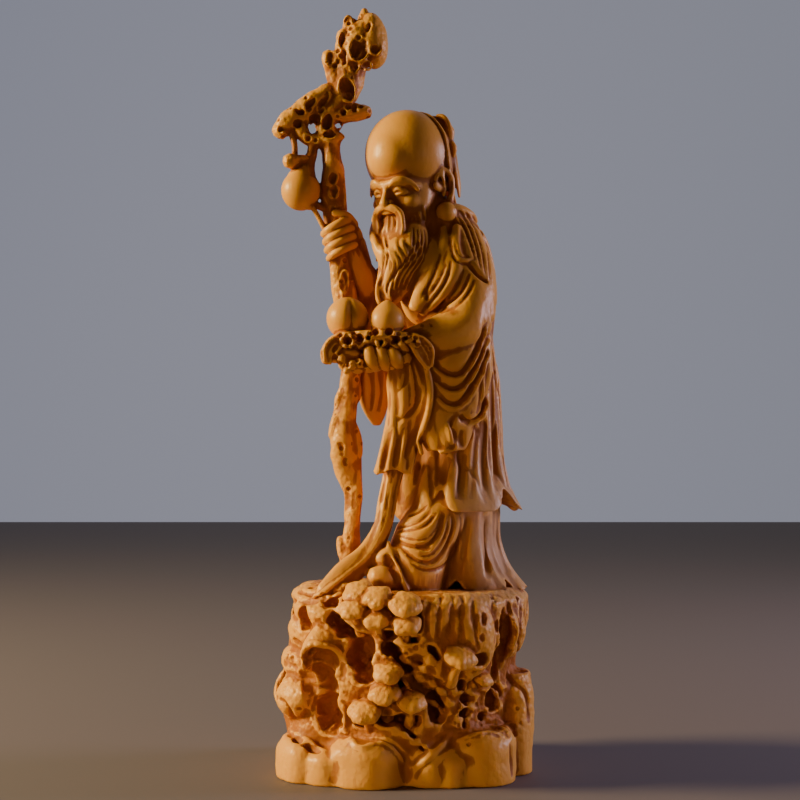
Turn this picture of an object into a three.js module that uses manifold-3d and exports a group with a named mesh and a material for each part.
// A shou lao, the old man of long life, carved with his rock and root staff from one block of boxwood.
// Millimetres, +Z up. +X is to the viewer's right and -Y towards the viewer. The origin is the middle
// of the flat underside.
import * as THREE from "three";
import { mergeVertices } from "three/addons/utils/BufferGeometryUtils.js";
import Module from "manifold-3d";

const wasm = await Module();
wasm.setup();

// Driving dimensions
const ROCK_WIDTH = 80;
const ROCK_DEPTH = 70;
const ROCK_HEIGHT = 57;
const FIGURE_HEIGHT = 183; // from the rock's top to the tip of the staff
const CAP_RADIUS = 4.2; // a middling mushroom cap
const STAFF_RADIUS = 3; // at its smoothest stretch
const GOURD_RADIUS = 6.4;
const PEACH_RADIUS = 6.3; // the larger of the two
const FINGER_THICKNESS = 2.3;

// The figure's points are stated at this height and scaled to FIGURE_HEIGHT.
const DRAWN_HEIGHT = 183;
const FIGURE_SCALE = FIGURE_HEIGHT / DRAWN_HEIGHT;

const TURN = 2 * Math.PI;
const degrees = THREE.MathUtils.degToRad;

// A closed three.js geometry as a solid, with its faces pointing out.
function solid(geometry) {
  const plain = geometry.clone();
  plain.deleteAttribute("normal");
  plain.deleteAttribute("uv");
  const merged = mergeVertices(plain, 1e-4);
  const mesh = (triVerts) =>
    new wasm.Mesh({ numProp: 3, vertProperties: merged.attributes.position.array, triVerts });
  const corners = new Uint32Array(merged.index.array);
  const made = new wasm.Manifold(mesh(corners));
  return made.volume() > 0 ? made : new wasm.Manifold(mesh(corners.reverse()));
}

// A ball whose points are moved by place(angle, row): the form that every skin and limb starts from.
function skin(columns, rows, place) {
  const geometry = new THREE.SphereGeometry(1, columns, rows);
  const position = geometry.attributes.position;
  for (let i = 0; i < position.count; i++) {
    const row = Math.floor(i / (columns + 1));
    const angle = (TURN * (i % (columns + 1) % columns)) / columns;
    position.setXYZ(i, ...place(angle, row));
  }
  return solid(geometry);
}

// Smooth values between stations. Each station starts with its place along the form.
function between(stations) {
  const places = stations.map(([at]) => at);
  const values = stations.flatMap(([, ...rest]) => rest);
  const track = new THREE.CubicInterpolant(places, values, stations[0].length - 1);
  return (at) => [...track.evaluate(at)];
}

// A form built up in level sections. A station is [height, centre x, centre y, half width, half depth].
// cut(angle, share) returns [outward, upward] moves, with share from 0 at the foot to 1 at the top.
function built(stations, columns, rows, cut = () => [0, 0]) {
  const at = between(stations);
  const low = stations[0][0];
  const high = stations[stations.length - 1][0];
  return skin(columns, rows, (angle, row) => {
    const share = THREE.MathUtils.clamp((row - 1) / (rows - 2), 0, 1);
    const z = low + (high - low) * share;
    const [x, y, wide, deep] = at(z);
    if (row === 0 || row === rows) return [x, y, z];
    const [out, up] = cut(angle, share);
    return [x + (wide + out) * Math.cos(angle), y + (deep + out) * Math.sin(angle), z + up];
  });
}

// A round or flattened bar along a smooth path of [x, y, z, radius] points, with rounded ends.
// thin is the direction in which it is flattened, to flat times its width, and gnarl is how far two
// ridges that wind round it stand out, as a share of its radius.
function limb(path, { sides = 8, steps = 8, flat = 1, thin = null, gnarl = 0 } = {}) {
  const curve = new THREE.CatmullRomCurve3(path.map(([x, y, z]) => new THREE.Vector3(x, y, z)));
  const radius = between(path.map((p, i) => [i, p[3]]));
  const frames = curve.computeFrenetFrames(steps);
  const END = 0.6; // how far a rounded end reaches past the path, as a share of its radius
  const rings = [[0, -END, 0], ...Array.from({ length: steps + 1 }, (_, i) => [i, 0, 1]), [steps, END, 0]];
  return skin(sides, rings.length - 1, (angle, row) => {
    const [step, along, share] = rings[row];
    const t = curve.getUtoTmapping(step / steps);
    const core = radius(t * (path.length - 1))[0];
    const r = core * (1 + gnarl * Math.cos(2 * angle + 1.6 * step));
    const tangent = frames.tangents[step];
    const up = thin
      ? new THREE.Vector3(...thin).projectOnPlane(tangent).normalize()
      : frames.normals[step];
    const aside = new THREE.Vector3().crossVectors(tangent, up);
    return curve
      .getPoint(t)
      .addScaledVector(tangent, along * core * flat)
      .addScaledVector(up, share * r * flat * Math.sin(angle))
      .addScaledVector(aside, share * r * Math.cos(angle))
      .toArray();
  });
}

// An egg or ball, turned about X, Y and Z in degrees.
function ball(centre, radii, turned = [0, 0, 0], columns = 10, rows = 7) {
  const geometry = new THREE.SphereGeometry(1, columns, rows).rotateX(Math.PI / 2).scale(...radii);
  return solid(geometry).rotate(turned).translate(centre);
}

const joined = (solids) => wasm.Manifold.union(solids);

// Rock

// Its sections are shares of the rock's width, depth and height.
const ROCK_SECTIONS = [
  [0.0, -0.006, 0, 0.48, 0.475],
  [0.16, 0.006, 0, 0.494, 0.49],
  [0.42, 0.006, 0, 0.49, 0.485],
  [0.58, 0.002, 0, 0.462, 0.46],
  [0.73, 0.03, 0, 0.472, 0.465],
  [0.88, 0.042, 0, 0.472, 0.475],
  [0.96, 0.04, 0, 0.462, 0.465],
  [1.0, 0.04, 0, 0.435, 0.435],
].map(([up, x, y, wide, deep]) => [
  up * ROCK_HEIGHT,
  x * ROCK_WIDTH,
  y * ROCK_DEPTH,
  wide * ROCK_WIDTH,
  deep * ROCK_DEPTH,
]);
const FLUTE_DEPTH = 1;
const LUMP_DEPTH = 1.2;
const SLAB_DEPTH = 2; // a strip of bark that stands proud low on the right

// Soft lumps on the left of the rock, and upright flutes like split bark on its right and back.
function weathered(angle, share) {
  const bark = THREE.MathUtils.smoothstep(Math.cos(angle - degrees(10)), -0.35, 0.35);
  const flutes = Math.sin(13 * angle + 2 * Math.sin(3 * share)) + 0.6 * Math.sin(9 * angle);
  const lumps = Math.sin(5 * angle + 9 * share) + Math.sin(8 * angle - 14 * share);
  const upright = Math.sin(Math.PI * share) ** 0.5;
  const slab = Math.max(0, Math.cos(angle + degrees(15))) ** 6 * Math.exp(-(((share - 0.25) / 0.2) ** 4));
  return [
    upright * (bark * FLUTE_DEPTH * flutes + (1 - bark) * LUMP_DEPTH * lumps + SLAB_DEPTH * slab),
    0,
  ];
}

// A point on the rock's side: across is from -1 at the left to 1 at the right, up is a share of its
// height, and back says that it is on the far side. Returns [x, y, z].
const rockSection = between(ROCK_SECTIONS);
function onRock(across, up, back = false) {
  const [x, y, wide, deep] = rockSection(up * ROCK_HEIGHT);
  const outward = Math.sqrt(Math.max(0, 1 - across * across)) * (back ? 1 : -1);
  return [x + across * wide, y + outward * deep, up * ROCK_HEIGHT];
}

// The hollows worn into the rock: [across, up, half width, half height, lean in degrees, depth].
const FRONT_CAVES = [
  [-0.76, 0.81, 2.4, 3.0, 0, 5],
  [-0.5, 0.78, 4.8, 3.2, 25, 9],
  [-0.62, 0.45, 6.0, 12.0, -24, 11],
  [-0.33, 0.61, 4.6, 7.4, 8, 12],
  [-0.06, 0.61, 4.0, 2.6, -15, 9],
  [0.1, 0.7, 3.4, 1.6, 10, 7],
  [0.14, 0.45, 8.0, 9.5, 38, 12],
  [0.72, 0.36, 3.0, 4.2, 12, 6],
];
const BACK_CAVES = [
  [-0.55, 0.55, 5.0, 9.0, 15, 9],
  [0.3, 0.4, 4.5, 8.0, -18, 8],
  [0.62, 0.68, 3.0, 4.5, 8, 6],
];

function cave([across, up, wide, high, lean, depth], back) {
  const [x, y, z] = onRock(across, up, back);
  const facing = THREE.MathUtils.radToDeg(Math.atan2(y, x)) + 90;
  return ball([x, y, z], [wide, depth, high], [0, lean, facing], 6, 4);
}

// The mushroom caps: [across, up, size].
const FRONT_CAPS = [
  [-0.36, 0.99, 1.0],
  [-0.18, 0.97, 0.95],
  [-0.4, 0.89, 0.75],
  [-0.2, 0.84, 1.0],
  [0.0, 0.9, 0.98],
  [0.04, 0.77, 0.95],
  [-0.1, 0.51, 0.9],
  [-0.14, 0.39, 1.0],
  [-0.29, 0.3, 1.15],
  [0.1, 0.37, 1.0],
  [0.44, 0.59, 1.05],
  [0.62, 0.48, 0.8],
];
const BACK_CAPS = [
  [-0.3, 0.52, 1.1],
  [-0.42, 0.4, 0.9],
  [0.05, 0.6, 1.0],
];

// A domed cap on a short stem that grows out of the rock and up. The profile is in cap radii.
const MUSHROOM_PROFILE = [[0, 0.6], [0.62, 0.46], [1, 0], [0.36, -0.2], [0, -2.6]];
const MUSHROOM_LEAN = degrees(32);
function mushroom([across, up, size], back) {
  const r = size * CAP_RADIUS;
  const [x, y, z] = onRock(across, up, back);
  const facing = Math.atan2(y, x);
  const points = MUSHROOM_PROFILE.map(([out, high]) => new THREE.Vector2(out * r, high * r));
  const turned = new THREE.LatheGeometry(points, 5)
    .rotateX(Math.PI / 2)
    .rotateY(MUSHROOM_LEAN)
    .rotateZ(facing);
  const proud = 0.35 * r;
  return solid(turned).translate([x + proud * Math.cos(facing), y + proud * Math.sin(facing), z]);
}

function rock() {
  const body = built(ROCK_SECTIONS, 28, 9, weathered);
  const [capX, capY] = [-0.24 * ROCK_WIDTH, -0.06 * ROCK_DEPTH];
  const mound = ball([capX, capY, ROCK_HEIGHT - 2.2], [15, 20, 4.6], [0, 0, 10], 9, 5);
  const caves = [
    ...FRONT_CAVES.map((c) => cave(c, false)),
    ...BACK_CAVES.map((c) => cave(c, true)),
  ];
  const floor = new THREE.BoxGeometry(4 * ROCK_WIDTH, 4 * ROCK_DEPTH, ROCK_HEIGHT);
  const below = solid(floor).translate([0, 0, -ROCK_HEIGHT / 2]);
  return joined([body, mound])
    .subtract(joined(caves))
    .add(joined([
      ...FRONT_CAPS.map((c) => mushroom(c, false)),
      ...BACK_CAPS.map((c) => mushroom(c, true)),
    ]))
    .subtract(below);
}

// Robes

// Rounded ridges of cloth with narrow valleys between them.
const pleats = (angle, count, phase) => Math.abs(Math.sin((count * angle) / 2 + phase)) ** 0.8 - 0.6;

// The long skirt that trails over the rock.
function skirt() {
  const sections = [
    [-1, 20, 2, 19.5, 16.5],
    [2, 20, 2, 17.5, 15],
    [13, 19, 2, 12.8, 13],
    [25, 19, 2, 13, 12.5],
    [38, 19, 2, 12, 12],
  ];
  return built(sections, 26, 5, (angle, share) => [
    (2.6 - 1.6 * share) * pleats(angle, 13, 0.4) + 1.2 * (1 - share) ** 3 * Math.sin(7 * angle),
    0,
  ]);
}

// The overgarment, with its flared and rippled hem, the hunched back and the shoulders.
function coat() {
  const sections = [
    [23.5, 21, 2, 16.2, 15.5],
    [28, 20, 2, 14.6, 15],
    [38, 19.5, 3, 13.2, 14],
    [53, 18.4, 3, 12.6, 14],
    [68, 17.4, 3, 12.6, 14.5],
    [83, 16.8, 3, 12.6, 15],
    [97, 15.4, 2, 13.6, 15],
    [107, 13.4, 1, 13.4, 13],
    [114, 12, 0, 11.6, 10.5],
    [120, 11, -1, 8, 8],
    [124, 9, -2, 5, 5],
  ];
  return built(sections, 26, 8, (angle, share) => {
    const flare = Math.max(0, 1 - 6 * share);
    const ripple = Math.sin(8 * angle + 0.6);
    const folds = THREE.MathUtils.smoothstep(share, 0, 0.12) * (1 - share) ** 0.7;
    return [2 * flare * ripple + 1.8 * folds * pleats(angle, 13, 1.1), 1.9 * flare * ripple];
  });
}

// The forward knee and shin under the skirt, with the cloth hung from them in loops.
function knee() {
  const leg = limb(
    [[22, 0, 34, 11], [13, -7, 24, 9.5], [7, -10, 15, 9], [5, -11, 3, 8.5]],
    { sides: 8, steps: 3 },
  );
  const loops = Array.from({ length: 4 }, (_, i) => {
    const drop = 4.6 * i;
    return limb(
      [
        [2.5 - 0.5 * i, -17 + 0.2 * i, 23 - 0.9 * drop, 0.7],
        [8 + 0.3 * i, -20.2, 18.5 - drop * 0.9, 1.1],
        [15 + 0.7 * i, -18.5, 18 - drop * 0.75, 1.1],
        [22 + 0.6 * i, -14.5, 25 - drop * 0.5, 0.9],
      ],
      { sides: 3, steps: 3 },
    );
  });
  const shoe = limb([[2, -14, 2, 4.4], [-4, -19, 3.6, 4.6], [-8, -21.5, 4.4, 4.2]], { sides: 7, steps: 2 });
  const toeTurn = ball([-9, -22, 6.8], [3.8, 2.2, 2.4], [0, 20, 25], 6, 4);
  return joined([leg, ...loops, shoe, toeTurn]);
}

// The long front edge of the robe, which sweeps down to the rock like a root.
function sash() {
  const edge = [
    [-1, -11, 38, 3.6],
    [-3.4, -11.5, 30, 3.2],
    [-5.4, -12.5, 19, 3.2],
    [-9.8, -14.5, 11, 3.8],
    [-17, -17.5, 4.5, 4.4],
    [-23, -19.5, -0.5, 3],
  ];
  const band = limb(edge, { sides: 6, steps: 6, flat: 0.6, thin: [0.35, -1, 0.2] });
  const ridge = (aside) =>
    limb(
      edge.map(([x, y, z]) => [x + aside, y - 1.7, z + 0.6 * aside, 0.9]),
      { sides: 3, steps: 4 },
    );
  return joined([band, ridge(-1.6), ridge(1.5)]);
}

// The near sleeve: the upper arm, the forearm held out to the tray, and the cloth that hangs from it.
function nearSleeve() {
  const arm = limb(
    [[20, -5, 107, 8.5], [23.5, -9, 94, 9.2], [22, -14, 82, 8.6], [12, -19, 77, 6.6], [2, -21, 75, 4.6]],
    { sides: 7, steps: 5 },
  );
  const hanging = built(
    [
      [34.5, 0.2, -14, 7.4, 3],
      [41, 3.2, -14.5, 9.6, 4],
      [48, 6.8, -15, 11.6, 4.8],
      [55, 10.8, -15.4, 14, 5.8],
      [63, 12.6, -15.6, 15.4, 6.8],
      [71, 13.4, -15, 14.8, 7.8],
      [79, 14.6, -14, 12.4, 7],
      [84, 15, -13, 8, 4],
    ],
    15,
    6,
    (angle, share) => [(1 - share) * 1.5 * pleats(angle, 11, 0.3), 0],
  );
  const loops = Array.from({ length: 4 }, (_, i) => {
    const drop = 3.9 * i;
    return limb(
      [
        [8 + 0.4 * i, -21.8 + 0.2 * i, 74 - drop, 0.7],
        [15 + 0.4 * i, -23.4 + 0.5 * i, 67.5 - drop, 1.2],
        [21 + 0.5 * i, -21 + 0.6 * i, 69.5 - 0.9 * drop, 1.2],
        [27 + 0.3 * i, -15 + 0.4 * i, 80 - 0.6 * drop, 0.8],
      ],
      { sides: 3, steps: 3 },
    );
  });
  const cuff = limb(
    [
      [2, -20, 77, 1.4],
      [-2, -18.5, 68, 1.6],
      [-2.6, -17, 56, 1.7],
      [-5.5, -16, 44, 1.5],
      [-7.4, -14.5, 35.5, 1.2],
    ],
    { sides: 3, steps: 5 },
  );
  const curl = limb([[13, -19, 50.5, 1.6], [16.5, -20.5, 53, 2], [21, -18, 51, 1.8], [25, -13, 56, 1.2]], {
    sides: 4,
    steps: 4,
  });
  return joined([arm, hanging, ...loops, cuff, curl]);
}

// The far sleeve: the arm that reaches out to the staff, and its hanging cloth behind the tray.
function farSleeve() {
  const arm = limb(
    [[8, 5, 106, 8], [-1, 4, 97, 7.5], [-8, 2, 93, 6.4], [-13, -1.5, 100, 4.6], [-16, -3, 107, 3.6]],
    { sides: 6, steps: 4 },
  );
  const hanging = built(
    [
      [52, -8.2, 1, 2.6, 2.4],
      [60, -8.4, 1, 5.2, 4],
      [72, -8.4, 2, 6, 5.4],
      [84, -6, 2, 8, 6.4],
      [95, -4, 2, 8, 6.4],
    ],
    10,
    5,
    (angle) => [0.8 * pleats(angle, 9, 0), 0],
  );
  const web = limb([[-2, 2, 88, 7], [8, 2, 80, 9]], { sides: 6, steps: 1 });
  return joined([arm, hanging, web]);
}

// Cloth folded over the shoulders and down the hunched back.
function shoulderFolds() {
  const paths = [
    [[15, -6, 120, 1.6], [22, -5, 114, 1.7], [27, 0, 104, 1.6], [29.5, 2, 90, 1.4], [30, 3, 76, 1.1]],
    [[14, -2, 121.5, 1.6], [21, 2, 115, 1.7], [26, 7, 104, 1.6], [28, 8, 90, 1.4], [28, 9, 76, 1.1]],
    [[12, 3, 121, 1.5], [17, 8, 114, 1.6], [21, 13, 103, 1.6], [22, 15, 88, 1.3], [22, 15, 74, 1]],
    [[8, 4, 120, 1.5], [10, 10, 112, 1.6], [12, 15.5, 101, 1.5], [13, 17, 86, 1.3], [13, 16.5, 72, 1]],
    [[13, -9, 116, 1.4], [18, -12.5, 108, 1.6], [21, -15, 101, 1.4], [16, -17.5, 98, 1.2], [11, -17, 103, 1]],
  ];
  return joined(paths.map((path) => limb(path, { sides: 3, steps: 5 })));
}

// Head

// The head's own directions: it is turned towards the staff and bowed.
const HEAD_YAW = degrees(30);
const HEAD_BOW = degrees(8);
const HEAD_AT = [0.8, -4.4, 124.5]; // between the ears, at the height of the eyes
const forward = new THREE.Vector3(
  -Math.sin(HEAD_YAW) * Math.cos(HEAD_BOW),
  -Math.cos(HEAD_YAW) * Math.cos(HEAD_BOW),
  -Math.sin(HEAD_BOW),
);
const leftward = new THREE.Vector3(Math.cos(HEAD_YAW), -Math.sin(HEAD_YAW), 0);
const upward = new THREE.Vector3().crossVectors(leftward, forward).negate();

// A point of the head: left is towards his own left ear, up and fore are from between the ears.
function face(left, up, fore) {
  return new THREE.Vector3(...HEAD_AT)
    .addScaledVector(leftward, left)
    .addScaledVector(upward, up)
    .addScaledVector(forward, fore)
    .toArray();
}
const HEAD_TURNED = [THREE.MathUtils.radToDeg(HEAD_BOW), 0, -THREE.MathUtils.radToDeg(HEAD_YAW)];
const headBall = (at, radii, columns, rows) => ball(face(...at), radii, HEAD_TURNED, columns, rows);
const headLimb = (path, shape) => limb(path.map(([l, u, f, r]) => [...face(l, u, f), r]), shape);

// The face is of common proportions: the brow, the base of the nose and the chin are FACE_THIRD
// apart, and each eye is EYE_APART from the middle.
const FACE_THIRD = 6.2;
const EYE_APART = 4.1;

function head() {
  const mirrored = (make) => [make(-1), make(1)];
  const skull = headBall([0, 11.6, -1.2], [13.2, 13.2, 13.2], 12, 8);
  const dome = headBall([0, 12.2, 2.4], [10.8, 11.4, 10.6], 9, 6);
  const block = headBall([0, -0.8, 0.2], [10.4, 10.2, 12.6], 8, 6);
  const neck = limb([[...face(0, -4, -2), 7.5], [8, -2, 112, 8.5]], { sides: 6, steps: 1 });
  const [third, eye] = [FACE_THIRD, EYE_APART];
  const brow = headLimb(
    [
      [-2 * eye, 0.26 * third, 6.4, 1.1],
      [-1.07 * eye, 0.5 * third, 9.6, 1.3],
      [0, 0.36 * third, 10.6, 1.2],
      [1.07 * eye, 0.5 * third, 9.6, 1.3],
      [2 * eye, 0.26 * third, 6.4, 1.1],
    ],
    { sides: 3, steps: 4 },
  );
  const nose = headLimb(
    [[0, 0.22 * third, 10.2, 1.0], [0, -0.22 * third, 11.8, 1.2], [0, -0.58 * third, 13.2, 1.7]],
    { sides: 5, steps: 2 },
  );
  const lips = headLimb(
    [
      [-0.6 * eye, -1.2 * third, 9.2, 0.6],
      [0, -1.16 * third, 10.2, 1],
      [0.6 * eye, -1.2 * third, 9.2, 0.6],
    ],
    { sides: 4, steps: 2 },
  );
  const sockets = mirrored((s) => headBall([s * eye, 0, 11], [2.6, 2, 1.5], 5, 4));
  const lids = mirrored((s) => headBall([s * eye, 0, 8.6], [2.1, 1.8, 1.4], 5, 4));
  const wings = mirrored((s) => headBall([s * 0.4 * eye, -0.63 * third, 11.4], [1.1, 1.2, 1], 5, 4));
  const cheeks = mirrored((s) => headBall([s * 1.3 * eye, -0.55 * third, 7.4], [3.2, 2.8, 2.8], 5, 4));
  const ears = mirrored((s) =>
    headLimb(
      [
        [s * 10.2, 4.2, -1.8, 1.4],
        [s * 11.4, 2, -2.6, 1.7],
        [s * 11.2, -2.5, -1.6, 1.6],
        [s * 11.4, -6.8, -0.8, 2.8],
      ],
      { sides: 4, steps: 3 },
    ),
  );
  const lobes = mirrored((s) => headBall([s * 11.8, -7.4, -0.6], [2.7, 2.8, 3.4], 5, 4));
  return joined([skull, dome, block, neck, brow])
    .subtract(joined(sockets))
    .add(joined([nose, lips, ...lids, ...wings, ...cheeks, ...ears, ...lobes]));
}

// The cloth tied round the back of the head, with its knot and two tails.
function headCloth() {
  const band = headBall([0, 8, -4.4], [13.4, 10.8, 14.2], 9, 6);
  const knot = headBall([0, 15, -14.6], [4.2, 3, 4.4], 6, 4);
  const curls = [-1, 1].map((s) => headBall([s * 3.4, 11, -15.4], [3, 2.4, 3], 5, 4));
  const tail = (s, sway) =>
    limb(
      [
        [...face(s * 2, 8, -14.6), 2],
        [...face(s * 4 + sway, 1, -13.6), 2.4],
        [...face(s * 6 + sway, -6, -12.6), 2.4],
        [...face(s * 8 + sway, -13, -13.8), 1.6],
      ],
      { sides: 4, steps: 4, flat: 0.5, thin: forward.toArray() },
    );
  return joined([band, knot, ...curls, tail(-1, 0), tail(1, 1)]);
}

// The beard: a body that hides the chin and lies on the chest, and wavy locks that stand out of it.
function beard() {
  const body = limb(
    [[...face(0, -9, 4), 7.4], [-0.4, -11.5, 106, 8.6], [-0.6, -12.4, 98, 7.6], [-2.4, -13.4, 90, 3.6]],
    { sides: 6, steps: 4, flat: 0.6, thin: [-0.3, -1, 0] },
  );
  const LOCKS = 8;
  const locks = Array.from({ length: LOCKS }, (_, i) => {
    const side = (2 * i) / (LOCKS - 1) - 1;
    const start = face(7 * side, -6.4 - 2.6 * Math.sqrt(1 - side * side), 9 - 2.6 * side * side);
    const length = 28 - 8 * Math.abs(side + 0.25);
    const path = [0, 0.25, 0.5, 0.75, 1].map((share, k) => [
      start[0] + share * (2 * side - 1.4) + (k > 0) * (k % 2 ? 0.9 : -0.9) * (i % 2 ? 1 : -1),
      start[1] - 3.6 * Math.sin(Math.PI * 0.55 * share) + 1.6 * share * side * side,
      start[2] - length * share,
      1.7 - 0.9 * share,
    ]);
    return limb(path, { sides: 3, steps: 4 });
  });
  const moustache = [-1, 1].map((s) =>
    headLimb(
      [
        [s * 0.6, -0.9 * FACE_THIRD, 11.2, 0.9],
        [s * 3.4, -1.1 * FACE_THIRD, 10, 1.3],
        [s * 5, -1.8 * FACE_THIRD, 8.8, 1.2],
        [s * 4.6, -2.6 * FACE_THIRD, 9.6, 0.8],
      ],
      { sides: 3, steps: 4 },
    ),
  );
  // Long locks are blown aside over the chest.
  const aside = [
    [[6, -15, 108, 1.8], [9, -17.4, 100, 1.7], [10.6, -18, 93, 1.4], [15, -18, 89, 0.9]],
    [[4, -16, 104, 1.8], [6, -18.4, 96, 1.6], [8, -19, 89.5, 1.4], [12.4, -19.4, 85.6, 0.8]],
  ].map((path) => limb(path, { sides: 3, steps: 5 }));
  return joined([body, ...locks, ...moustache, ...aside]);
}

// Staff

// [x, y, height, radius as a share of STAFF_RADIUS]
const STAFF_PATH = [
  [-16, -4, -3, 1.13],
  [-15.6, -4, 12, 1],
  [-14.6, -4, 28, 0.93],
  [-16.8, -4, 40, 1.47],
  [-18, -4, 49, 1.4],
  [-16.4, -4, 60, 0.97],
  [-15.2, -4, 70, 1],
  [-16, -4, 80, 1.13],
  [-17.6, -4, 92, 1.2],
  [-19.2, -4, 105, 1.2],
  [-20.4, -4, 118, 1.33],
  [-21.4, -4, 130, 1.47],
  [-21.6, -4, 139, 1.67],
].map(([x, y, z, share]) => [x, y, z, share * STAFF_RADIUS]);

// The gnarled top of the staff, its twigs and its hollows.
function staffCrown() {
  const boughs = [
    [[-21.6, -4, 138, 4.6], [-27, -4, 143, 5.6], [-33, -5, 144, 4.8], [-38, -5, 141, 2.6]],
    [[-29, -4, 145, 4.6], [-24, -3, 151, 5.6], [-18, -3, 153, 5.2], [-12.6, -4, 150.5, 3.4]],
    [[-18.4, -3, 153, 5], [-16, -3, 160, 4.2], [-14.4, -4, 167, 5.4], [-12.6, -4, 174, 6]],
    [[-15, -4, 162, 3.4], [-19, -5, 164, 2.8], [-22.6, -5, 167.4, 2.2]],
    [[-12.4, -5, 172, 5], [-11.4, -5, 178, 3.6], [-10.8, -5, 181.4, 1.6]],
  ].map((path) => limb(path, { sides: 5, steps: 4, gnarl: 0.15 }));
  const dome = ball([-8.8, -4, 172.6], [5, 5.6, 9.2], [0, -6, 0], 8, 6);
  const hollows = [
    ball([-13.4, -10, 168.4], [2.8, 3.4, 2.8], [0, 0, 0], 6, 4),
    ball([-16.6, -8, 158.6], [2, 2.6, 3], [0, 0, 0], 6, 4),
    ball([-26.4, -9.6, 147.6], [1.5, 3, 2.6], [0, 30, 0], 6, 4),
    ball([-32, -10, 144.6], [1.8, 2.6, 1.7], [0, 0, 0], 5, 4),
  ];
  return joined([...boughs, dome]).subtract(joined(hollows));
}

// The gourd that hangs from the staff by a twig, with a cut twig end beside it.
const GOURD_AT = [-31, -6, 125.4];
function gourd() {
  const [x, y, z] = GOURD_AT;
  const r = GOURD_RADIUS;
  const neck = limb(
    [[x + 0.8, y, z + 0.6 * r, 0.7 * r], [x + 2.6, y + 0.4, z + 1.35 * r, 0.4 * r], [-27, -5, 140, 1.8]],
    { sides: 5, steps: 2 },
  );
  const cutTwig = limb(
    [[x + 0.5, y, z + 4.6, 1.7], [-33.6, -8, 132, 1.6], [-36.4, -9.4, 132.8, 2.6]],
    { sides: 5, steps: 2 },
  );
  const shoot = limb(
    [[-35, -5, 143, 1.6], [-33.6, -6, 138, 1.2], [-34, -7, 133, 1.2]],
    { sides: 4, steps: 2 },
  );
  return joined([ball(GOURD_AT, [r, r, r], [0, 0, 0], 8, 6), neck, cutTwig, shoot]);
}

function staff() {
  const shaft = limb(STAFF_PATH, { sides: 6, steps: 17, gnarl: 0.2 });
  const hollows = [
    ball([-18.6, -8.4, 39], [1.7, 2.4, 3.4], [0, 0, 0], 6, 4),
    ball([-17.4, -7.8, 95], [1.2, 1.6, 3.4], [0, 0, 0], 6, 4),
  ];
  return shaft.subtract(joined(hollows)).add(joined([staffCrown(), gourd()]));
}

// The far hand: four fingers and a thumb closed round the staff.
function farHand() {
  const palm = ball([-17, -2.4, 109], [4.4, 4, 6.2], [0, -8, 0], 6, 4);
  const GRIP_RADIUS = 4.6;
  const wrapped = (z, from, to) =>
    limb(
      [0, 0.33, 0.66, 1].map((share) => {
        const around = degrees(from + (to - from) * share);
        const [x, y] = [GRIP_RADIUS * Math.cos(around), GRIP_RADIUS * Math.sin(around)];
        return [-19.6 + x, -4 + y, z - 2 * share, FINGER_THICKNESS / 2];
      }),
      { sides: 3, steps: 3 },
    );
  const fingers = [0, 1, 2, 3].map((i) => wrapped(114.5 - 2.5 * i, 10, -200));
  return joined([palm, ...fingers, wrapped(117, 20, 130)]);
}

// Tray

const TRAY_TOP = 79.3;

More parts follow.
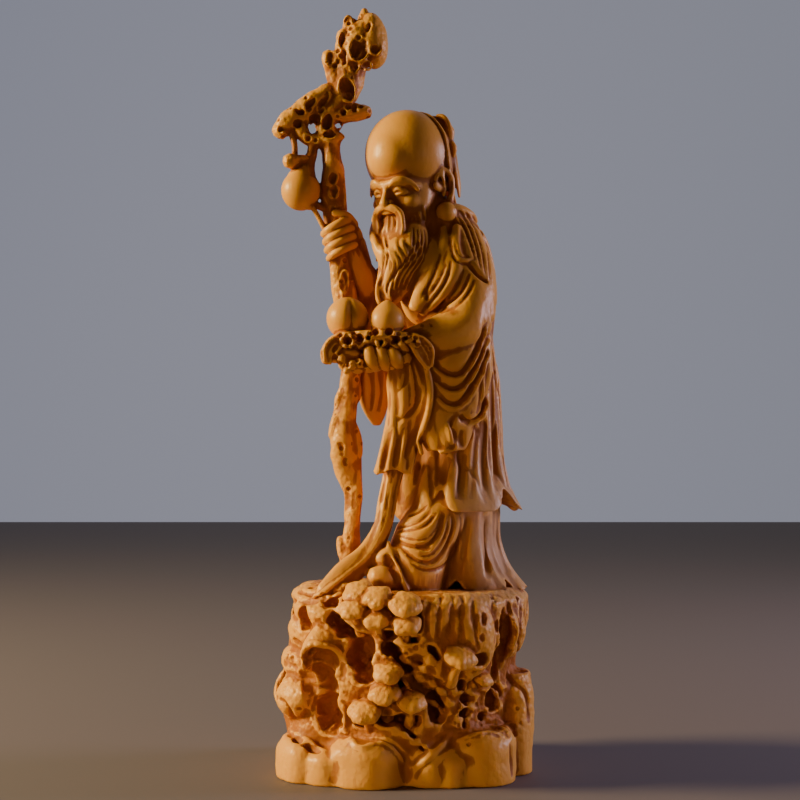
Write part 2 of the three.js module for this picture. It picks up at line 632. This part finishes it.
// The root tray: a knotty slab with a drooping leaf at each end, two peaches and the near hand below.
function tray() {
  const slab = limb(
    [
      [-24.6, -19, 70.5, 2.4],
      [-21.6, -20, 76.2, 4.6],
      [-12, -21, 77.6, 6.8],
      [0, -21, 77.2, 6.8],
      [8, -20, 76.6, 4.6],
      [12.5, -20, 70.5, 2.2],
    ],
    { sides: 6, steps: 7, flat: 0.45, thin: [0.1, 0.35, 1] },
  );
  const KNOTS = 5;
  const knots = Array.from({ length: KNOTS }, (_, i) => {
    const share = i / (KNOTS - 1);
    const centre = [-19.5 + 20 * share, -22, 73.6 - 3.8 * Math.sin(Math.PI * share)];
    return ball(centre, [3.4, 3.6, 3.2], [0, 0, 0], 5, 4);
  });
  const fingers = [0, 1, 2, 3].map((i) =>
    limb(
      [
        [-2 - 2.4 * i, -17, 70.5 - 0.3 * i, 1.6],
        [-3.4 - 2.4 * i, -22, 69.4 - 0.3 * i, FINGER_THICKNESS / 2 + 0.2],
        [-4 - 2.4 * i, -25.2, 72.4, FINGER_THICKNESS / 2],
      ],
      { sides: 3, steps: 2 },
    ),
  );
  const palm = ball([-5, -17.5, 71], [7, 5, 3.4], [0, 0, 0], 6, 4);
  const wrist = limb([[-4, -18, 72, 3.6], [4, -19.5, 74.5, 4.4]], { sides: 6, steps: 1 });
  return joined([slab, ...knots, ...fingers, palm, wrist]);
}

// A peach that stands on the tray with its point up and its cleft turned to one side.
function peach([x, y], size, cleftAt) {
  const COLUMNS = 9;
  const ROWS = 6;
  return skin(COLUMNS, ROWS, (angle, row) => {
    const down = (Math.PI * row) / ROWS;
    const point = 0.2 * Math.max(0, Math.cos(down)) ** 6;
    const cleft = 0.13 * Math.exp(-(((angle - cleftAt) / 0.3) ** 2)) * Math.sin(down);
    const r = size * (1 - cleft) * Math.sin(down);
    return [
      x + r * Math.cos(angle),
      y + r * Math.sin(angle),
      TRAY_TOP + size * (1 + (1 + point) * Math.cos(down)),
    ];
  });
}

// Everything above is one block of wood.
const figure = joined([
  skirt(),
  coat(),
  knee(),
  sash(),
  nearSleeve(),
  farSleeve(),
  shoulderFolds(),
  head(),
  headCloth(),
  beard(),
  staff(),
  farHand(),
  tray(),
  peach([-16.8, -20.5], PEACH_RADIUS, degrees(270)),
  peach([-4, -21.5], 0.84 * PEACH_RADIUS, degrees(120)),
])
  .scale(FIGURE_SCALE)
  .translate([0, 0, ROCK_HEIGHT]);
const carved = joined([rock(), figure]);

function meshOf(solidOne, name, material) {
  const { vertProperties, triVerts } = solidOne.getMesh();
  const geometry = new THREE.BufferGeometry()
    .setAttribute("position", new THREE.BufferAttribute(vertProperties, 3))
    .setIndex(new THREE.BufferAttribute(triVerts, 1));
  const mesh = new THREE.Mesh(geometry, material);
  mesh.name = name;
  return mesh;
}

const boxwood = new THREE.MeshStandardMaterial({ color: 0xd8973c, roughness: 0.5, metalness: 0 });
const part = new THREE.Group();
part.add(meshOf(carved, "shou_lao_carving", boxwood));

export default part;
